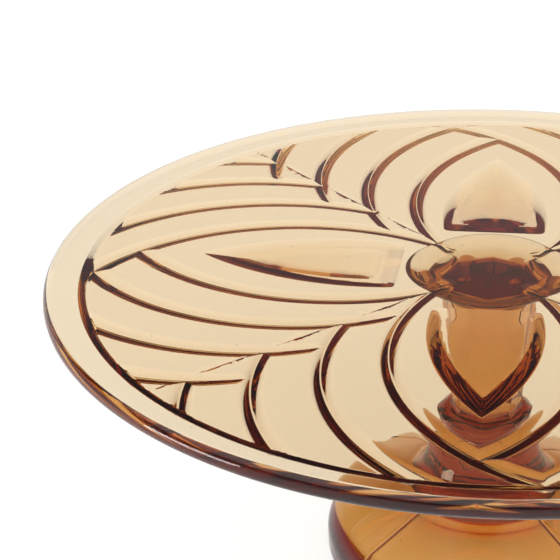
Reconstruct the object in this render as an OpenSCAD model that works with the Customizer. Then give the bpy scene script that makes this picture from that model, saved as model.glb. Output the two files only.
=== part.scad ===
// Footed plate of pressed amber glass: a flat disc with four petals in relief on its underside,
// carried by a short eight-sided stem on a round foot that rises like a trumpet to a narrow collar.
// The origin is on the axis, on the surface that the foot rests on. Four petals point along +X, +Y, -X
// and -Y, and the joints of the four-part mould would run along the diagonals between them.

/* [Plate] */
// Diameter of the plate
plate_d = 210; // [180:1:240]
// Height of the plate's flat top above the base
plate_top = 80; // [76:1:100]
// Thickness of the rim, whose edge is fully rounded
rim_t = 4.2; // [3.6:0.1:5]
// Thickness inside the relief's circle, between the ribs
field_t = 5.4; // [5.2:0.1:6.5]
// Radius of the relief's circle as a share of the plate's radius
relief_share = 0.905; // [0.88:0.005:0.92]

/* [Petal ribs] */
// How far a rib stands out under the field
rib_h = 2.0; // [1.2:0.1:2.4]
// Width of a rib where it meets the field
rib_w = 5.0; // [4:0.1:6]
// Width of a rib's crest
crest_w = 1.2; // [0.8:0.1:2]
// Radius of every rib's arc as a share of the relief's radius
arc_share = 0.68; // [0.67:0.005:0.69]
// Ribs on each side of a petal
rib_count = 4; // [2:1:4]

/* [Teardrops] */
// How far a teardrop stands out under the field
drop_h = 2.2; // [1.5:0.1:2.5]
// Half of a teardrop's width
drop_half_w = 13.2; // [12:0.2:14]
// How much narrower each side of a teardrop is at its lowest than where it meets the field
drop_slope = 1.6; // [1:0.1:2]

/* [Stem] */
// Distance between opposite corners of the eight-sided stem, under the plate
stem_d = 23; // [21:0.5:25]
// Distance between opposite corners where the tapering stem meets the foot's collar
waist_d = 18.4; // [17:0.2:19]
// Radius of each of the four lobes where the stem meets the plate
lobe_r = 18; // [17:0.5:19]
// Distance of each lobe's centre from the axis
lobe_offset = 2.5; // [2:0.1:3]
// Height of the flare under the plate
flare_h = 7; // [5:0.5:9]

/* [Foot] */
// Diameter of the foot
foot_d = 78; // [70:1:86]
// Height of the foot's widest line above the base
foot_belly_z = 7; // [6.5:0.1:8]
// Radius of the shoulder that rounds the dome into the edge
shoulder_r = 6.3; // [5.5:0.1:6.8]
// Radius of the rounded edge under the widest line
heel_r = 4; // [3:0.5:5]
// Slope of the domed top, in degrees
dome_slope = 22; // [20:1:24]
// Radius of the circle where the neck springs from the dome
neck_r = 20; // [19:0.5:22]
// Radius of the collar on top of the neck
collar_r = 12; // [11.5:0.25:12.5]
// Height of the collar's top above the base
collar_z = 38.5; // [37:0.5:41]
// Height of the shallow hollow under the foot
hollow_h = 3; // [2:0.5:5]
// Width of the flat ring that the foot rests on
rest_w = 5; // [4:0.5:6]

/* [Hidden] */
$fn = 96;
// Segments of the plate's long arcs
fine = 180;
amber = [0.89, 0.66, 0.33, 0.55];

plate_r = plate_d / 2;
relief_r = plate_r * relief_share;
field_z = plate_top - field_t;
arc_r = relief_r * arc_share;

// Crest of rib k: how far out along the petal its arc turns, and how far that is from the petal's axis
first_out = 0.40;
step_out = 0.09;
first_side = 0.22;
step_side = 0.136;
function arc_centre(k) = [
    relief_r * (first_out + step_out * k),
    relief_r * (first_side + step_side * k) - arc_r
];

// Angle about the arc's centre at which arc k crosses the relief's circle
function circle_angle(k) =
    let (c = arc_centre(k), d = norm(c))
    atan2(c.y, c.x) + acos((relief_r ^ 2 - d ^ 2 - arc_r ^ 2) / (2 * arc_r * d));

// Angle at which arc k meets the diagonal between two petals
function diagonal_angle(k) =
    let (
        c = arc_centre(k),
        s = (c.x + c.y + sqrt(2 * arc_r ^ 2 - (c.x - c.y) ^ 2)) / 2
    )
    atan2(s - c.y, s - c.x);

// Angle at which arc k, run on past the diagonal, meets arc k - 1 of the next petal
function neighbour_angle(k) =
    let (
        c = arc_centre(k),
        p = arc_centre(k - 1),
        other = [p.y, p.x],
        middle = (c + other) / 2,
        half = (other - c) / 2,
        reach = sqrt(arc_r ^ 2 - norm(half) ^ 2) / norm(half),
        meet = middle + reach * [half.y, -half.x]
    )
    atan2(meet.y - c.y, meet.x - c.x);

// Angle at which the first arc crosses the petal's axis
axis_angle = asin(-arc_centre(0).y / arc_r);

// How deep neighbouring shapes of one piece run into each other
bite = 1;
// How far a rib runs on past the relief's circle before it is trimmed there, in degrees
past_circle = 3;
// How far the first ribs run on past the diagonal towards the stem, in degrees
to_stem = 3;
// Height of the ribs on a petal's short side, a little under the long side's ribs that they run into
short_h = rib_h - 0.1;

// Teardrop along its petal: its square inner end, its widest line and its tip
drop_base = 0.235 * relief_r;
drop_widest = 0.35 * relief_r;
drop_tip = 0.735 * relief_r;
drop_r = ((drop_tip - drop_widest) ^ 2 + drop_half_w ^ 2) / (2 * drop_half_w);

// Stem: how far the flare's lower end stays inside the stem
stem_r = stem_d / 2;
flare_inset = 1.2;

// Foot: centre of the shoulder's arc, the line of the dome above it, the hollowed neck, and the ball
// that hollows it from below
foot_r = foot_d / 2;
shoulder_c = [foot_r - shoulder_r, foot_belly_z];
function dome_z(r) =
    shoulder_c.y + shoulder_r / cos(dome_slope) + (shoulder_c.x - r) * tan(dome_slope);
neck_z = dome_z(neck_r);
hollow_r = foot_r - heel_r - rest_w;
ball_r = (hollow_r ^ 2 + hollow_h ^ 2) / (2 * hollow_h);

// Points of the neck's hollowed line, a quarter of an ellipse from the dome up to the collar
neck_steps = 12;
function neck_line() = [
    for (i = [0 : neck_steps])
        let (turn = 90 * i / neck_steps)
        [neck_r - (neck_r - collar_r) * sin(turn), neck_z + (collar_z - neck_z) * (1 - cos(turn))]
];

// One rib of height h along arc k, from angle a0 to angle a1 about the arc's centre
module rib(k, a0, a1, h) {
    c = arc_centre(k);
    translate([c.x, c.y, field_z])
        rotate([0, 0, a0])
            rotate_extrude(angle = a1 - a0, $fn = fine)
                polygon([
                    [arc_r - rib_w / 2, bite],
                    [arc_r - rib_w / 2, 0],
                    [arc_r - crest_w / 2, -h],
                    [arc_r + crest_w / 2, -h],
                    [arc_r + rib_w / 2, 0],
                    [arc_r + rib_w / 2, bite]
                ]);
}

// The long side, clockwise of its petal as seen from above, runs past the tip and out to the circle
module long_side() {
    mirror([0, 1, 0])
        for (k = [0 : rib_count - 1])
            rib(k, circle_angle(k) - past_circle, diagonal_angle(k) + (k == 0 ? to_stem : 0), rib_h);
}

// The short side stops at the long side at the tip, and runs past the diagonal at its inner end
module short_side() {
    rib(0, axis_angle, diagonal_angle(0) + to_stem, short_h);
    for (k = [1 : rib_count - 1])
        rib(k, circle_angle(k) - past_circle, neighbour_angle(k), short_h);
}

// One curved side of a teardrop: a disc whose centre lies on the other side of the petal's axis
module drop_flank(side) {
    translate([drop_widest, side * (drop_half_w - drop_r), 0])
        cylinder(h = drop_h + bite, r1 = drop_r - drop_slope, r2 = drop_r, $fn = fine);
}

// Raised teardrop that runs out along the petal from the stem: where two discs overlap, cut off square
// at its inner end
module teardrop() {
    translate([0, 0, field_z - drop_h])
        intersection() {
            drop_flank(1);
            drop_flank(-1);
            translate([drop_base, -plate_r, 0])
                cube([plate_r, plate_d, drop_h + bite]);
        }
}

// The flat disc: a plain rim with a round edge, and the thicker field inside the relief's circle
module disc() {
    rotate_extrude($fn = fine) {
        translate([0, plate_top - rim_t])
            square([plate_r - rim_t / 2, rim_t]);
        translate([plate_r - rim_t / 2, plate_top - rim_t / 2])
            intersection() {
                circle(d = rim_t);
                translate([0, -rim_t])
                    square([rim_t, 2 * rim_t]);
            }
        translate([0, field_z])
            square([relief_r, field_t - bite]);
    }
}

module plate() {
    color(amber) {
        disc();
        intersection() {
            for (turn = [0 : 90 : 270])
                rotate([0, 0, turn]) {
                    long_side();
                    short_side();
                }
            translate([0, 0, field_z - rib_h - bite])
                cylinder(h = field_t, r = relief_r, $fn = fine);
        }
        for (turn = [0 : 90 : 270])
            rotate([0, 0, turn])
                teardrop();
    }
}

module stem() {
    color(amber) {
        translate([0, 0, collar_z])
            cylinder(h = field_z - collar_z, r1 = waist_d / 2, r2 = stem_r, $fn = 8);
        for (turn = [0 : 90 : 270])
            rotate([0, 0, turn])
                translate([lobe_offset, 0, field_z - flare_h])
                    cylinder(h = flare_h, r1 = stem_r - lobe_offset - flare_inset, r2 = lobe_r);
    }
}

// Half of the foot's outline: the neck and the dome, the round shoulder, the edge and the round heel
module foot_outline() {
    polygon(concat(
        [
            [0, 0],
            [foot_r - heel_r, 0],
            [foot_r - heel_r, foot_belly_z],
            shoulder_c,
            shoulder_c + shoulder_r * [sin(dome_slope), cos(dome_slope)]
        ],
        neck_line(),
        [[0, collar_z]]
    ));
    translate(shoulder_c)
        intersection() {
            circle(r = shoulder_r);
            square(shoulder_r);
        }
    translate([foot_r - heel_r, heel_r])
        intersection() {
            circle(r = heel_r);
            translate([0, -heel_r])
                square(heel_r);
        }
    translate([foot_r - heel_r, heel_r])
        square([heel_r, foot_belly_z - heel_r]);
}

module foot() {
    color(amber)
        difference() {
            rotate_extrude()
                foot_outline();
            translate([0, 0, hollow_h - ball_r])
                sphere(r = ball_r);
        }
}

plate();
stem();
foot();
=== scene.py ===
"""Footed plate of pressed amber glass: detailed plate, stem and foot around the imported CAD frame."""
import math

import bpy
import numpy as np
from mathutils import Matrix, Vector
from mathutils.geometry import delaunay_2d_cdt


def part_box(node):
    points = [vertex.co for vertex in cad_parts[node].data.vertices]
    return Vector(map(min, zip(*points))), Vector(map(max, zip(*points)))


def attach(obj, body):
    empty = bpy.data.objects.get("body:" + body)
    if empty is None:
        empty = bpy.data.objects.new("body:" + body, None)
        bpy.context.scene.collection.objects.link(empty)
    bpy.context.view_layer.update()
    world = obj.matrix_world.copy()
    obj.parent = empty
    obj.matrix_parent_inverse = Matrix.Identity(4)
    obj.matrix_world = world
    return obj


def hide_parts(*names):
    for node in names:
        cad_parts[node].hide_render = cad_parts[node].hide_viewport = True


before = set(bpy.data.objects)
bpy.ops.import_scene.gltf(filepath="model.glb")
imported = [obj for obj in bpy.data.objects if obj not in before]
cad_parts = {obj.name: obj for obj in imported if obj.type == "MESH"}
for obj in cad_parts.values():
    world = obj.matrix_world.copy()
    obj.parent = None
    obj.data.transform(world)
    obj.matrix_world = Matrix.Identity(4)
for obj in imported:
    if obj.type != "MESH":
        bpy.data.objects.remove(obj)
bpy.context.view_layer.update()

MM = 0.001
PLATE_LOW, PLATE_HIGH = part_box("plate")
FOOT_LOW, FOOT_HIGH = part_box("foot")
TOP = PLATE_HIGH.z
PLATE_R = (PLATE_HIGH.x - PLATE_LOW.x) / 2
FOOT_R = (FOOT_HIGH.x - FOOT_LOW.x) / 2
QUARTERS = [quarter * math.pi / 2 for quarter in range(4)]

# ---------------------------------------------------------------- relief under the plate
# Circle that bounds the relief, and the step up from it to the thinner rim
RELIEF_R = 0.905 * PLATE_R
RISER_R = 1.02 * RELIEF_R
FIELD_T = 5.4 * MM
RIM_T = 4.2 * MM
FILLET = 0.12 * MM

# Ribs: nested arcs of one radius. The place where the first arc turns, and the step from each arc to
# the next, both out along the petal and aside of it, are shares of the relief's radius
RIB_COUNT = 4
ARC_R = 0.60 * RELIEF_R
FIRST_OUT = 0.436
STEP_OUT = 0.082
FIRST_SIDE = 0.215
STEP_SIDE = 0.142
# How far ribs run on past the relief's circle and past the diagonal, in radians
RUN_ON = 0.06
# A rib's height and half width at its outer and inner ends, and the power that hollows its sides
RIB_OUT_H = 1.35 * MM
RIB_IN_H = 0.9 * MM
RIB_OUT_HALF = 3.6 * MM
RIB_IN_HALF = 2.5 * MM
RIB_COVE = 2.0
# Half width of the rounded crest
CREST = 0.20 * MM
# Share of its height that a rib on a petal's short side keeps at its inner end
SHORT_END = 0.3
# Where ribs cross, the higher one wins, more sharply with a higher power
RIB_BLEND = 6
# How fast the room for ribs grows inside the relief's circle, by the square of the millimetres
RIB_END_H = 0.9 * MM

# Each petal's small lean against the mould's seams: the mean, and how far the petals along x and
# those along y differ from it
LEAN_MEAN = math.radians(0.45)
LEAN_SWING = math.radians(1.5)

# Fine seams of the four-part mould
SEAM_H = 0.12 * MM
SEAM_HALF = 0.35 * MM
SEAM_START = 0.18 * RELIEF_R
SEAM_LENGTH = 0.8 * RELIEF_R

# Teardrop pads. Outline: half width, then the inner end, the widest line and the tip along the petal
DROP_HALF = 0.139 * RELIEF_R
DROP_BASE = 0.222 * RELIEF_R
DROP_WIDEST = 0.33 * RELIEF_R
DROP_TIP = 0.735 * RELIEF_R
DROP_R = ((DROP_TIP - DROP_WIDEST) ** 2 + DROP_HALF**2) / (2 * DROP_HALF)
DROP_CORNER = 2.5 * MM
# Side walls: full height, width, and the power that hollows them
DROP_EDGE_H = 2.1 * MM
DROP_CHAMFER = 5.0 * MM
DROP_COVE = 1.2
# Wall at the inner end: height and width. From there the top climbs outwards at a slope
DROP_BASE_H = 0.9 * MM
DROP_BASE_W = 4.4 * MM
DROP_CLIMB = 0.045
# Low crown on the top: height, and how far in from the walls it is reached
DROP_CROWN_H = 0.35 * MM
DROP_CROWN = 6.0 * MM


def arc_centre(k):
    """Centre of rib k's arc, as (out along the petal, aside of it)."""
    return RELIEF_R * (FIRST_OUT + STEP_OUT * k), RELIEF_R * (FIRST_SIDE + STEP_SIDE * k) - ARC_R


def circle_angle(k):
    """Angle about arc k's centre at which it crosses the relief's circle."""
    out, aside = arc_centre(k)
    reach = math.hypot(out, aside)
    cosine = (RELIEF_R**2 - reach**2 - ARC_R**2) / (2 * ARC_R * reach)
    return math.atan2(aside, out) + math.acos(cosine)


def diagonal_angle(k):
    """Angle at which arc k meets the diagonal between two petals."""
    out, aside = arc_centre(k)
    s = (out + aside + math.sqrt(2 * ARC_R**2 - (out - aside) ** 2)) / 2
    return math.atan2(s - aside, s - out)


def neighbour_angle(k):
    """Angle at which arc k, run on past the diagonal, meets arc k - 1 of the next petal."""
    c = Vector(arc_centre(k))
    other = Vector(reversed(arc_centre(k - 1)))
    half = (other - c) / 2
    reach = math.sqrt(ARC_R**2 - half.length**2) / half.length
    meet = (c + other) / 2 + reach * Vector((half.y, -half.x))
    return math.atan2(meet.y - c.y, meet.x - c.x)


def rib_list():
    """Every rib as (petal angle, side, k, outer angle, diagonal angle, inner angle)."""
    axis_angle = math.asin(-arc_centre(0)[1] / ARC_R)
    ribs = []
    for petal in QUARTERS:
        for k in range(RIB_COUNT):
            outer = circle_angle(k) - RUN_ON
            diagonal = diagonal_angle(k)
            ribs.append((petal, -1, k, outer, diagonal, diagonal + (RUN_ON if k == 0 else 0)))
            if k == 0:
                ribs.append((petal, 1, k, axis_angle, diagonal, diagonal + RUN_ON))
            else:
                ribs.append((petal, 1, k, outer, diagonal, neighbour_angle(k)))
    return ribs


RIBS = rib_list()


def lean(x, y, way):
    """Points turned by the small lean that each petal has against the mould's seams."""
    turn = way * (LEAN_MEAN - LEAN_SWING * np.cos(2 * np.arctan2(y, x)))
    return x * np.cos(turn) - y * np.sin(turn), x * np.sin(turn) + y * np.cos(turn)


def petal_place(x, y, petal, side):
    """Points as (out along the petal, aside of it), where side picks which way is positive."""
    out = x * math.cos(petal) + y * math.sin(petal)
    aside = side * (y * math.cos(petal) - x * math.sin(petal))
    return out, aside


def from_petal(out, aside, petal):
    """A place out along a petal and aside of it, as (x, y)."""
    x = out * math.cos(petal) - aside * math.sin(petal)
    y = out * math.sin(petal) + aside * math.cos(petal)
    return x, y


def smooth_least(a, b, blend):
    """The lesser of two heights, rounded over where they meet."""
    share = np.clip(0.5 + (b - a) / (2 * blend), 0, 1)
    return b + (a - b) * share - blend * share * (1 - share)


def smooth_most(a, b, blend):
    """The greater of two heights, rounded over where they meet."""
    return -smooth_least(-a, -b, blend)


def rib_half(share):
    """Half of a rib's width, from its outer end (0) to its inner end (1)."""
    return RIB_OUT_HALF + (RIB_IN_HALF - RIB_OUT_HALF) * share


def rib_place(x, y, rib):
    """Where points lie against one rib: (share along it, distance across, angle round its arc)."""
    petal, side, k, outer, diagonal, inner = rib
    out, aside = petal_place(x, y, petal, side)
    c_out, c_aside = arc_centre(k)
    angle = np.arctan2(aside - c_aside, out - c_out)
    radius = np.hypot(out - c_out, aside - c_aside)
    beyond = np.maximum(np.maximum(outer - angle, angle - inner), 0) * radius
    share = np.clip((angle - outer) / (inner - outer), 0, 1)
    return share, np.hypot(radius - ARC_R, beyond), angle


def rib_height(x, y, rib):
    """Height of one rib: a narrow crest between two hollowed sides."""
    petal, side, k, outer, diagonal, inner = rib
    share, away, angle = rib_place(x, y, rib)
    across = np.hypot(away, CREST) - CREST
    crest_h = RIB_OUT_H + (RIB_IN_H - RIB_OUT_H) * share
    height = crest_h * np.clip(1 - across / rib_half(share), 0, 1) ** RIB_COVE
    if side > 0 and k > 0:
        fade = np.clip((angle - diagonal) / (inner - diagonal), 0, 1)
        height *= 1 + (SHORT_END - 1) * fade
    return height


def drop_inside(x, y, petal):
    """How far points lie inside a petal's teardrop outline, and how far out along the petal."""
    out, aside = petal_place(x, y, petal, 1)
    flank = DROP_R - np.hypot(out - DROP_WIDEST, np.abs(aside) + DROP_R - DROP_HALF)
    return smooth_least(flank, out - DROP_BASE, DROP_CORNER), out


def drop_height(x, y, petal):
    """Height of a teardrop pad: hollowed walls, a gentler inner end, and a top that climbs outwards."""
    inside, out = drop_inside(x, y, petal)
    along = np.maximum(out - DROP_BASE, 0)
    top = np.minimum(DROP_BASE_H + DROP_CLIMB * (along - DROP_BASE_W), DROP_EDGE_H)
    crown = np.clip((inside - DROP_CHAMFER) / DROP_CROWN, 0, 1)
    top = top + DROP_CROWN_H * (1 - (1 - crown) ** 2)
    base = DROP_BASE_H * along / DROP_BASE_W
    edge = DROP_EDGE_H * np.clip(inside / DROP_CHAMFER, 0, 2) ** DROP_COVE
    return smooth_least(smooth_least(edge, base, FILLET), top, FILLET) * (inside > 0)


def seam_height(x, y):
    """Height of the mould's fine seams, on the plate's two diagonals."""
    away = np.minimum(np.abs(x - y), np.abs(x + y)) / math.sqrt(2)
    return SEAM_H * np.clip(1 - away / SEAM_HALF, 0, 1)


def depth(x, y):
    """How far the underside lies below the plate's flat top."""
    ribs = np.zeros_like(x)
    leant_x, leant_y = lean(x, y, -1)
    for rib in RIBS:
        ribs += rib_height(leant_x, leant_y, rib) ** RIB_BLEND
    relief = np.maximum(ribs ** (1 / RIB_BLEND), seam_height(x, y))
    for petal in QUARTERS:
        relief = np.maximum(relief, drop_height(leant_x, leant_y, petal))
    r = np.hypot(x, y)
    riser = (FIELD_T - RIM_T) * (RISER_R - r) / (RISER_R - RELIEF_R)
    riser += RIB_END_H * (np.clip(RELIEF_R - r, 0, None) / MM) ** 2
    outer = smooth_most(RIM_T + riser, RIM_T, FILLET)
    return smooth_least(FIELD_T + relief, outer, FILLET)


def slopes(x, y, step=0.02 * MM):
    """How steeply the underside falls along x and along y."""
    along_x = (depth(x + step, y) - depth(x - step, y)) / (2 * step)
    along_y = (depth(x, y + step) - depth(x, y - step)) / (2 * step)
    return along_x, along_y


# ---------------------------------------------------------------- plate mesh
RIM_SEGMENTS = 384
EDGE_STEPS = 12
UNDER_R = PLATE_R - RIM_T / 2
# Where lines of mesh points follow the shape: round the relief's circle as shares of its radius,
# along a rib as shares of its half width, and inside a pad's outline in millimetres
RELIEF_RINGS = (0.975, 0.983, 0.99, 0.995, 1.0, 1.005, 1.009, 1.014, 1.018, 1.021, 1.026)
RIB_ROWS = (0, 0.04, 0.1, 0.2, 0.36, 0.55, 0.75, 0.92, 1.03)
RIB_SPACING = 1.3 * MM
RIB_TRIM_R = 1.03 * RELIEF_R
DROP_ROWS = (-0.2, 0, 0.3, 0.8, 1.3, 1.8, 2.3, 2.8, 3.3, 3.8, 4.3, 4.7, 5.1, 6.0, 8.0)
DROP_STEPS = 40
DROP_END_STEPS = 12
SEAM_POINTS = 50
# Rings on the flat top, as shares of its radius
TOP_RINGS = (0.97, 0.9, 0.75, 0.5, 0.25)
# The loose grid between the lines: its spacing, and how far it keeps clear of the lines
FILL_STEP = 2.4 * MM
FILL_ROW = 0.87 * FILL_STEP
FILL_EDGE = 0.7 * FILL_STEP
CLEAR_OF_RIB = 1.25
CLEAR_OUTSIDE = 0.6 * MM
CLEAR_INSIDE = 0.8 * MM
# Points closer than this are merged, in metres
WELD = 1e-7


def circle_points(radius, count):
    """Evenly spaced points round a circle."""
    turns = [2 * math.pi * i / count for i in range(count)]
    return [(radius * math.cos(turn), radius * math.sin(turn)) for turn in turns]


def polyline(points, closed=False):
    """Points with the edges that join them in a row."""
    count = len(points)
    last = count if closed else count - 1
    return points, [(i, (i + 1) % count) for i in range(last)]


def rib_line(rib, offset):
    """Points along a rib, at an offset from its crest as a share of its half width."""
    petal, side, k, outer, diagonal, inner = rib
    c_out, c_aside = arc_centre(k)
    count = max(int((inner - outer) * ARC_R / RIB_SPACING), 4)
    points = []
    for i in range(count + 1):
        share = i / count
        angle = outer + (inner - outer) * share
        radius = ARC_R + offset * rib_half(share)
        out = c_out + radius * math.cos(angle)
        aside = side * (c_aside + radius * math.sin(angle))
        x, y = from_petal(out, aside, petal)
        if math.hypot(x, y) < RIB_TRIM_R:
            points.append(tuple(lean(x, y, 1)))
    return points


def rib_lines(rib):
    """Lines along a rib's crest and down both of its sides."""
    lines = []
    for row in RIB_ROWS:
        for offset in ((row, -row) if row else (row,)):
            points = rib_line(rib, offset)
            if len(points) > 2:
                lines.append(polyline(points))
    return lines


def drop_line(petal, inset):
    """Closed line at a distance in from a pad's edge, as (x, y) points."""
    r = DROP_R - inset
    side = DROP_HALF - DROP_R
    start = math.asin((DROP_BASE + inset - DROP_WIDEST) / r)
    end = math.acos(-side / r)
    flank = []
    for i in range(DROP_STEPS + 1):
        angle = start + (end - start) * i / DROP_STEPS
        flank.append((DROP_WIDEST + r * math.sin(angle), side + r * math.cos(angle)))
    mirrored = [(out, -aside) for out, aside in reversed(flank[:-1])]
    corner_out, corner_aside = flank[0]
    inner_end = [
        (corner_out, corner_aside * (1 - 2 * i / DROP_END_STEPS))
        for i in range(DROP_END_STEPS - 1, 0, -1)
    ]
    outline = [from_petal(out, aside, petal) for out, aside in flank + mirrored + inner_end]
    return [tuple(lean(x, y, 1)) for x, y in outline]


def seam_line(angle, away):
    """Straight line beside one of the mould's seams."""
    points = []
    for i in range(SEAM_POINTS):
        r = SEAM_START + SEAM_LENGTH * i / (SEAM_POINTS - 1)
        points.append(from_petal(r, away, angle))
    return points


def fill_points():
    """A loose triangular grid over the flat parts, clear of the ribs' and pads' sides."""
    reach = int(UNDER_R / FILL_STEP)
    i, j = np.meshgrid(np.arange(-reach, reach + 1), np.arange(-reach, reach + 1))
    x = ((i + 0.5 * (j % 2)) * FILL_STEP).ravel()
    y = (j * FILL_ROW).ravel()
    leant_x, leant_y = lean(x, y, -1)
    keep = np.hypot(x, y) < UNDER_R - FILL_EDGE
    for rib in RIBS:
        share, away, angle = rib_place(leant_x, leant_y, rib)
        keep &= away > CLEAR_OF_RIB * rib_half(share)
    for petal in QUARTERS:
        inside = drop_inside(leant_x, leant_y, petal)[0]
        keep &= (inside < -CLEAR_OUTSIDE) | (inside > DROP_CHAMFER + CLEAR_INSIDE)
    return list(zip(x[keep], y[keep]))


def underside():
    """Flat points and faces of the underside, from lines that follow the relief and a loose grid."""
    lines = [polyline(circle_points(UNDER_R, RIM_SEGMENTS), closed=True)]
    for share in RELIEF_RINGS:
        lines.append(polyline(circle_points(share * RELIEF_R, RIM_SEGMENTS), closed=True))
    for rib in RIBS:
        lines += rib_lines(rib)
    for petal in QUARTERS:
        for row in DROP_ROWS:
            lines.append(polyline(drop_line(petal, row * MM), closed=True))
        for away in (-SEAM_HALF, 0, SEAM_HALF):
            lines.append(polyline(seam_line(petal + math.pi / 4, away)))
    points, edges = [], []
    for line_points, line_edges in lines:
        base = len(points)
        points += line_points
        edges += [(a + base, b + base) for a, b in line_edges]
    points += fill_points()
    # Output type 1 keeps the triangles inside the outermost ring
    made = delaunay_2d_cdt([Vector(p) for p in points], edges, [], 1, WELD, False)
    return np.array([tuple(v) for v in made[0]]), made[2]


def rim_ring(flat):
    """Numbers of the underside's outermost points, in order round the plate."""
    part = 2 * math.pi / RIM_SEGMENTS
    rim = {}
    for index, (x, y) in enumerate(flat):
        if abs(math.hypot(x, y) - UNDER_R) < 10 * WELD:
            rim[round(math.atan2(y, x) / part) % RIM_SEGMENTS] = index
    return [rim[i] for i in range(RIM_SEGMENTS)]


def plate_mesh():
    """The relief's underside, the round edge and the flat top, with exact normals."""
    flat, under_faces = underside()
    x, y = flat[:, 0], flat[:, 1]
    slope_x, slope_y = slopes(x, y)
    normal = np.stack([-slope_x, -slope_y, -np.ones_like(slope_x)], axis=1)
    normal /= np.linalg.norm(normal, axis=1)[:, None]
    verts = [(a, b, TOP - low) for a, b, low in zip(x, y, depth(x, y))]
    normals = [tuple(n) for n in normal]
    faces = [tuple(reversed(face)) for face in under_faces]
    ring = rim_ring(flat)

    def add_ring(radius, z, outward, upward):
        """One more ring, joined to the one before it."""
        base = len(verts)
        for i in range(RIM_SEGMENTS):
            angle = 2 * math.pi * i / RIM_SEGMENTS
            verts.append((radius * math.cos(angle), radius * math.sin(angle), z))
            normals.append((outward * math.cos(angle), outward * math.sin(angle), upward))
        new = list(range(base, base + RIM_SEGMENTS))
        for i in range(RIM_SEGMENTS):
            j = (i + 1) % RIM_SEGMENTS
            faces.append((ring[i], ring[j], new[j], new[i]))
        ring[:] = new

    tube = RIM_T / 2
    for step in range(1, EDGE_STEPS + 1):
        turn = math.pi * step / EDGE_STEPS - math.pi / 2
        outward, upward = math.cos(turn), math.sin(turn)
        add_ring(UNDER_R + tube * outward, TOP - tube + tube * upward, outward, upward)
    for share in TOP_RINGS:
        add_ring(share * UNDER_R, TOP, 0, 1)
    verts.append((0, 0, TOP))
    normals.append((0, 0, 1))
    hub = len(verts) - 1
    faces += [(ring[i], ring[(i + 1) % RIM_SEGMENTS], hub) for i in range(RIM_SEGMENTS)]
    return verts, faces, normals


# ---------------------------------------------------------------- stem mesh
SIDES = 8
STEM_SEGMENTS = 96
STEM_STEPS = 8
# Corner radius of the eight-sided stem: under the plate, at its waist and on the collar
STEM_R = 11.3 * MM
WAIST_R = 8.4 * MM
TAPER = 1.15
LOW_FLARE_R = 9.2 * MM
LOW_FLARE_H = 2.0 * MM
# Four-lobed join under the plate
JOIN_R = 18.8 * MM
JOIN_BULGE = 1.2 * MM
# The join's side, rounded then hollowed: (share of the join's outline, millimetres under the plate)
JOIN_PROFILE = ((1.0, 0.0), (0.97, 0.35), (0.92, 0.75), (0.86, 1.0), (0.7, 1.4), (0.5, 1.9), (0.36, 2.3))
COVE_H = 4.2 * MM
COVE_POWER = 1.3
STEM_SEAM_H = 0.16 * MM
STEM_SEAM_HALF = 1.2
STEM_SEAM_COLUMNS = (0.6, STEM_SEAM_HALF)
# How deep bonded pieces run into each other
BOND = 0.5 * MM


def octagon_r(angle, corner):
    """Radius of an octagon, with corners on the axes and diagonals, at an angle."""
    part = math.pi / SIDES
    within = (angle % (2 * part)) - part
    return corner * math.cos(part) / math.cos(within)


def join_r(angle):
    """Radius of the stem's four-lobed outline against the plate."""
    quarter = math.pi / 2
    within = ((angle + quarter / 2) % quarter) - quarter / 2
    return JOIN_R + JOIN_BULGE * math.cos(2 * within)


def stem_levels():
    """Cross-sections from the top down, as (height, share of the join's outline, octagon's size)."""
    top = TOP - FIELD_T
    levels = [(top + BOND, 1.0, STEM_R)]
    for share, drop in JOIN_PROFILE:
        levels.append((top - drop * MM, share, STEM_R))
    last_share, last_drop = JOIN_PROFILE[-1]
    for i in range(1, STEM_STEPS + 1):
        rise = math.sin(math.pi / 2 * i / STEM_STEPS)
        level = top - last_drop * MM - COVE_H * rise
        levels.append((level, last_share * (1 - rise) ** COVE_POWER, STEM_R))
    shaft_top = top - last_drop * MM - COVE_H
    waist_z = FOOT_HIGH.z + LOW_FLARE_H
    for i in range(1, STEM_STEPS + 1):
        share = i / STEM_STEPS
        corner = STEM_R + (WAIST_R - STEM_R) * share**TAPER
        levels.append((shaft_top + (waist_z - shaft_top) * share, 0.0, corner))
    for i in range(1, STEM_STEPS + 1):
        turn = math.pi / 2 * i / STEM_STEPS
        spread = (LOW_FLARE_R - WAIST_R) * (1 - math.cos(turn))
        levels.append((waist_z - LOW_FLARE_H * math.sin(turn), 0.0, WAIST_R + spread))
    levels.append((FOOT_HIGH.z - BOND, 0.0, LOW_FLARE_R))
    return levels


def seamed_angles(count, columns):
    """Even steps round, with extra columns at some degrees either side of the diagonals' seams."""
    even = [2 * math.pi * i / count for i in range(count)]
    extra = [
        quarter + math.pi / 4 + math.radians(side * degrees)
        for quarter in QUARTERS
        for side in (-1, 1)
        for degrees in columns
    ]
    return sorted(even + extra)


def seam_share(angle, half):
    """1 on a diagonal's seam, falling to 0 at the given half width in degrees."""
    away = math.degrees(abs((angle % (math.pi / 2)) - math.pi / 4))
    return max(1 - away / half, 0)


def stem_mesh():
    """The stem, skinned from its cross-sections, with a flat cap at each end."""
    levels = stem_levels()
    angles = seamed_angles(STEM_SEGMENTS, STEM_SEAM_COLUMNS)
    count = len(angles)
    verts, faces = [], []
    for z, share, corner in levels:
        for angle in angles:
            r = octagon_r(angle, corner)
            r += (join_r(angle) - r) * share + STEM_SEAM_H * seam_share(angle, STEM_SEAM_HALF)
            verts.append((r * math.cos(angle), r * math.sin(angle), z))
    last = (len(levels) - 1) * count
    for a in range(0, last, count):
        b = a + count
        for i in range(count):
            j = (i + 1) % count
            faces.append((a + j, a + i, b + i, b + j))
    faces.append(tuple(range(count)))
    faces.append(tuple(reversed(range(last, last + count))))
    return verts, faces


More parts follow.
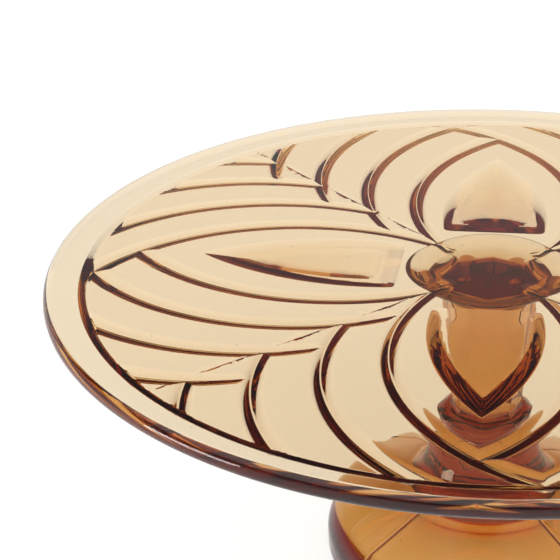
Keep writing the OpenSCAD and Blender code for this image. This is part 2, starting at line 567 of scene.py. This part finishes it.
# ---------------------------------------------------------------- foot mesh
FOOT_SEGMENTS = 128
# From the rest up: resting ring, hollow, heel, widest line and round shoulder, then the dome's slope
REST_W = 5 * MM
HOLLOW_H = 3.0 * MM
HEEL_R = 4 * MM
BELLY_Z = 7 * MM
SHOULDER_R = 6.3 * MM
DOME_SLOPE = math.radians(22)
# Neck, and the collar on top of it, whose upper face drops outwards
NECK_R = 20.0 * MM
NECK_POWER = 0.9
COLLAR_R = 12.0 * MM
COLLAR_DROP = 1.6 * MM
COLLAR_POWER = 1.6
SCALLOP = 0.4 * MM
# Seams: height, half width in degrees, extra columns beside them, and how much of a seam's height
# points up rather than out on the dome and elsewhere
FOOT_SEAM_H = 0.22 * MM
FOOT_SEAM_HALF = 0.9
FOOT_SEAM_COLUMNS = (0.4, FOOT_SEAM_HALF, 1.6)
DOME_TILT = 0.9
SIDE_TILT = 0.3
# Steps along each stretch of the foot's outline
TOP_STEPS = 4
COLLAR_STEPS = 6
NECK_STEPS = 16
DOME_STEPS = 10
SHOULDER_STEPS = 16
HEEL_STEPS = 8
HOLLOW_STEPS = 16


def dome_z(r):
    """Height of the dome's straight slope at a radius."""
    return BELLY_Z + SHOULDER_R / math.cos(DOME_SLOPE) + (FOOT_R - SHOULDER_R - r) * math.tan(DOME_SLOPE)


def foot_outline():
    """Half outline from the collar's middle round to the hollow's: (r, z, seam share, scallop share)."""
    collar_z = FOOT_HIGH.z
    points = [(LOW_FLARE_R * i / TOP_STEPS, collar_z, 0, 0) for i in range(TOP_STEPS + 1)]
    for i in range(1, COLLAR_STEPS + 1):
        share = i / COLLAR_STEPS
        r = LOW_FLARE_R + (COLLAR_R - LOW_FLARE_R) * share
        points.append((r, collar_z - COLLAR_DROP * share**COLLAR_POWER, 0, share))
    neck_z = dome_z(NECK_R)
    neck_h = collar_z - COLLAR_DROP - neck_z
    for i in range(NECK_STEPS - 1, -1, -1):
        turn = math.pi / 2 * i / NECK_STEPS
        r = NECK_R - (NECK_R - COLLAR_R) * math.sin(turn)
        points.append((r, neck_z + neck_h * (1 - math.cos(turn)) ** NECK_POWER, 1, i / NECK_STEPS))
    shoulder_c = FOOT_R - SHOULDER_R
    dome_r = shoulder_c + SHOULDER_R * math.sin(DOME_SLOPE)
    for i in range(1, DOME_STEPS + 1):
        r = NECK_R + (dome_r - NECK_R) * i / DOME_STEPS
        points.append((r, dome_z(r), 1, 0))
    for i in range(1, SHOULDER_STEPS + 1):
        turn = (math.pi / 2 - DOME_SLOPE) * (1 - i / SHOULDER_STEPS)
        r = shoulder_c + SHOULDER_R * math.cos(turn)
        points.append((r, BELLY_Z + SHOULDER_R * math.sin(turn), 1, 0))
    heel_c = FOOT_R - HEEL_R
    points.append((FOOT_R, HEEL_R, 1, 0))
    for i in range(1, HEEL_STEPS + 1):
        turn = -math.pi / 2 * i / HEEL_STEPS
        r = heel_c + HEEL_R * math.cos(turn)
        points.append((r, HEEL_R + HEEL_R * math.sin(turn), 1 - i / HEEL_STEPS, 0))
    hollow_r = heel_c - REST_W
    ball_r = (hollow_r**2 + HOLLOW_H**2) / (2 * HOLLOW_H)
    reach = math.asin(hollow_r / ball_r)
    for i in range(HOLLOW_STEPS + 1):
        turn = reach * (1 - i / HOLLOW_STEPS)
        points.append((ball_r * math.sin(turn), HOLLOW_H - ball_r + ball_r * math.cos(turn), 0, 0))
    return points


def foot_mesh():
    """The foot, turned from its outline, with seams on the diagonals and faint scallops on the collar."""
    angles = seamed_angles(FOOT_SEGMENTS, FOOT_SEAM_COLUMNS)
    seam = [FOOT_SEAM_H * seam_share(angle, FOOT_SEAM_HALF) for angle in angles]
    scallop = [SCALLOP * (abs(math.cos(SIDES * angle / 2)) - 1) for angle in angles]
    verts, faces, rows = [], [], []
    for r, z, seam_part, scallop_part in foot_outline():
        if r < WELD:
            rows.append([len(verts)])
            verts.append((0, 0, z))
            continue
        rows.append(list(range(len(verts), len(verts) + len(angles))))
        on_dome = r > NECK_R and z > BELLY_Z + SHOULDER_R / 2
        tilt = DOME_TILT if on_dome else SIDE_TILT
        for angle, ridge, dip in zip(angles, seam, scallop):
            out = r + ridge * seam_part * (1 - tilt) + dip * scallop_part
            verts.append((out * math.cos(angle), out * math.sin(angle), z + ridge * seam_part * tilt))
    for a, b in zip(rows, rows[1:]):
        for i in range(len(angles)):
            j = (i + 1) % len(angles)
            if len(a) == 1:
                faces.append((a[0], b[i], b[j]))
            elif len(b) == 1:
                faces.append((a[i], b[0], a[j]))
            else:
                faces.append((a[i], b[i], b[j], a[j]))
    return verts, faces


# ---------------------------------------------------------------- materials
def glass(name, tint, density):
    """Amber glass that absorbs light within, with specks, a faint ripple and fine wear on its skin."""
    material = bpy.data.materials.new(name)
    material.use_nodes = True
    nodes, links = material.node_tree.nodes, material.node_tree.links
    nodes.clear()
    output = nodes.new("ShaderNodeOutputMaterial")
    shader = nodes.new("ShaderNodeBsdfPrincipled")
    shader.inputs["IOR"].default_value = 1.5
    shader.inputs["Transmission Weight"].default_value = 1.0
    volume = nodes.new("ShaderNodeVolumeAbsorption")
    volume.inputs["Color"].default_value = (*tint, 1)
    volume.inputs["Density"].default_value = density
    links.new(shader.outputs[0], output.inputs["Surface"])
    links.new(volume.outputs[0], output.inputs["Volume"])
    place = nodes.new("ShaderNodeTexCoord").outputs["Object"]

    def ramp(source, stops):
        node = nodes.new("ShaderNodeValToRGB")
        links.new(source, node.inputs["Fac"])
        for element, (position, level) in zip(node.color_ramp.elements, stops):
            element.position = position
            element.color = (level, level, level, 1)
        return node.outputs["Color"]

    specks = nodes.new("ShaderNodeTexVoronoi")
    specks.inputs["Scale"].default_value = 120
    links.new(place, specks.inputs["Vector"])
    links.new(ramp(specks.outputs["Distance"], ((0.02, 0.55), (0.045, 1.0))), shader.inputs["Base Color"])

    wear = nodes.new("ShaderNodeTexNoise")
    wear.inputs["Scale"].default_value = 45
    wear.inputs["Detail"].default_value = 6
    links.new(place, wear.inputs["Vector"])
    links.new(ramp(wear.outputs["Fac"], ((0.55, 0.0), (0.8, 0.06))), shader.inputs["Roughness"])

    ripple = nodes.new("ShaderNodeTexNoise")
    ripple.inputs["Scale"].default_value = 55
    ripple.inputs["Detail"].default_value = 1
    links.new(place, ripple.inputs["Vector"])
    bump = nodes.new("ShaderNodeBump")
    bump.inputs["Strength"].default_value = 1.0
    bump.inputs["Distance"].default_value = 0.05 * MM
    links.new(ripple.outputs["Fac"], bump.inputs["Height"])
    links.new(bump.outputs["Normal"], shader.inputs["Normal"])
    return material


def matt(name, grey, glow):
    """Plain matt grey that also glows, for the floor."""
    material = bpy.data.materials.new(name)
    material.use_nodes = True
    shader = material.node_tree.nodes["Principled BSDF"]
    shader.inputs["Base Color"].default_value = (grey, grey, grey, 1)
    shader.inputs["Roughness"].default_value = 0.7
    shader.inputs["Specular IOR Level"].default_value = 0.0
    shader.inputs["Emission Color"].default_value = (1, 1, 1, 1)
    shader.inputs["Emission Strength"].default_value = glow
    return material


# ---------------------------------------------------------------- pieces
# Amber of the glass, and how densely each piece absorbs light, per metre. The stem and foot absorb more
# than the plate as painted shade: one glass, made darker where less light reaches it, under the plate and
# over the shaded floor
PLAIN_AMBER = (0.812, 0.528, 0.01)
FOOT_AMBER_PAINTED_SHADE = (0.862, 0.58, 0.01)
PLATE_DENSITY = 118
STEM_DENSITY_PAINTED_SHADE = 130
FOOT_DENSITY_PAINTED_SHADE = 156
# Edges sharper than this many degrees stay creased, so that facets look flat
STEM_CREASE = 20
FOOT_CREASE = 30


def add_piece(node, amber, verts, faces, normals=None):
    """One glass piece that stands for a CAD node."""
    mesh = bpy.data.meshes.new(node + "_glass")
    mesh.from_pydata(verts, [], faces)
    mesh.validate()
    mesh.update()
    mesh.polygons.foreach_set("use_smooth", [True] * len(mesh.polygons))
    if normals is not None:
        mesh.normals_split_custom_set_from_vertices(normals)
    mesh.materials.append(amber)
    piece = bpy.data.objects.new(node + "_glass", mesh)
    bpy.context.scene.collection.objects.link(piece)
    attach(piece, "root")
    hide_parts(node)
    return piece


def crease(piece, degrees):
    """Keep a piece's sharp edges sharp."""
    piece.data.set_sharp_from_angle(angle=math.radians(degrees))


add_piece("plate", glass("amber_glass_plate", PLAIN_AMBER, PLATE_DENSITY), *plate_mesh())
# Stem and foot get darker copies of the plate's glass, as painted shade
stem = add_piece("stem", glass("amber_glass_stem_painted_shade", PLAIN_AMBER, STEM_DENSITY_PAINTED_SHADE), *stem_mesh())
foot = add_piece("foot", glass("amber_glass_foot_painted_shade", FOOT_AMBER_PAINTED_SHADE, FOOT_DENSITY_PAINTED_SHADE), *foot_mesh())
crease(stem, STEM_CREASE)
crease(foot, FOOT_CREASE)

# ---------------------------------------------------------------- camera, floor and light
# Direction in radians, lens in millimetres, and place from the middle of the top, in relief radii
CAMERA_YAW = -0.1742
CAMERA_PITCH = -0.4468
CAMERA_ROLL = -0.0233
CAMERA_LENS = 116.88
CAMERA_SENSOR = 36
CAMERA_PLACE = Vector((0.1910, -4.1003, 1.9149))

FLOOR_HALF = 4.0
FLOOR_GAP = 0.02 * MM
FLOOR_GREY = 0.35
FLOOR_GLOW = 0.8

# Brightness of the surroundings against how far up a direction points: 0 level, 1 straight up
SKY = (
    (0.0, 1.0),
    (0.17, 0.85),
    (0.375, 0.5),
    (0.43, 0.32),
    (0.48, 0.12),
    (0.57, 0.08),
    (0.7, 1.1),
    (1.0, 1.6),
)


def add_camera():
    """Camera in front of the plate and above it, looking down across it."""
    forward = Vector((
        math.sin(CAMERA_YAW) * math.cos(CAMERA_PITCH),
        math.cos(CAMERA_YAW) * math.cos(CAMERA_PITCH),
        math.sin(CAMERA_PITCH),
    ))
    right = Vector((math.cos(CAMERA_YAW), -math.sin(CAMERA_YAW), 0))
    up = right.cross(forward)
    x_axis = math.cos(CAMERA_ROLL) * right + math.sin(CAMERA_ROLL) * up
    y_axis = x_axis.cross(forward)
    turn = Matrix((x_axis, y_axis, -forward)).transposed().to_4x4()
    data = bpy.data.cameras.new("camera")
    data.sensor_width = CAMERA_SENSOR
    data.lens = CAMERA_LENS
    camera = bpy.data.objects.new("camera", data)
    bpy.context.scene.collection.objects.link(camera)
    place = CAMERA_PLACE * RELIEF_R + Vector((0, 0, TOP))
    camera.matrix_world = Matrix.Translation(place) @ turn
    bpy.context.scene.camera = camera


def add_floor():
    """Plain pale floor, a hair under the foot."""
    mesh = bpy.data.meshes.new("floor")
    corners = [(x * FLOOR_HALF, y * FLOOR_HALF, 0) for x, y in ((-1, -1), (1, -1), (1, 1), (-1, 1))]
    mesh.from_pydata(corners, [], [(0, 1, 2, 3)])
    mesh.materials.append(matt("floor", FLOOR_GREY, FLOOR_GLOW))
    floor = bpy.data.objects.new("floor", mesh)
    bpy.context.scene.collection.objects.link(floor)
    floor.location.z = FOOT_LOW.z - FLOOR_GAP


def add_world():
    """Bright at the horizon and straight above, with a darker band between, as in a studio."""
    world = bpy.data.worlds.new("world")
    bpy.context.scene.world = world
    world.use_nodes = True
    nodes, links = world.node_tree.nodes, world.node_tree.links
    place = nodes.new("ShaderNodeTexCoord")
    split = nodes.new("ShaderNodeSeparateXYZ")
    ramp = nodes.new("ShaderNodeValToRGB")
    links.new(place.outputs["Generated"], split.inputs[0])
    links.new(split.outputs["Z"], ramp.inputs["Fac"])
    elements = ramp.color_ramp.elements
    for i, (height, level) in enumerate(SKY):
        element = elements[i] if i < 2 else elements.new(height)
        element.position = height
        element.color = (level, level, level, 1)
    links.new(ramp.outputs["Color"], nodes["Background"].inputs["Color"])
    nodes["Background"].inputs["Strength"].default_value = 1.0


def add_softbox(name, place, width, height, power):
    """Rectangular lamp aimed at the plate, not seen through the glass."""
    data = bpy.data.lights.new(name, "AREA")
    data.shape = "RECTANGLE"
    data.size = width
    data.size_y = height
    data.energy = power
    lamp = bpy.data.objects.new(name, data)
    bpy.context.scene.collection.objects.link(lamp)
    lamp.location = place
    aim = Vector((0, 0, TOP)) - Vector(place)
    lamp.rotation_euler = aim.to_track_quat("-Z", "Y").to_euler()
    lamp.visible_transmission = False


add_camera()
add_floor()
add_world()
add_softbox("left_softbox", place=(-0.95, -0.45, 0.22), width=0.5, height=0.3, power=4)

# Light passes through many glass surfaces before it leaves the plate
scene = bpy.context.scene
scene.view_settings.view_transform = "Standard"
scene.cycles.max_bounces = 32
scene.cycles.transmission_bounces = 32
scene.cycles.glossy_bounces = 16
scene.cycles.diffuse_bounces = 4
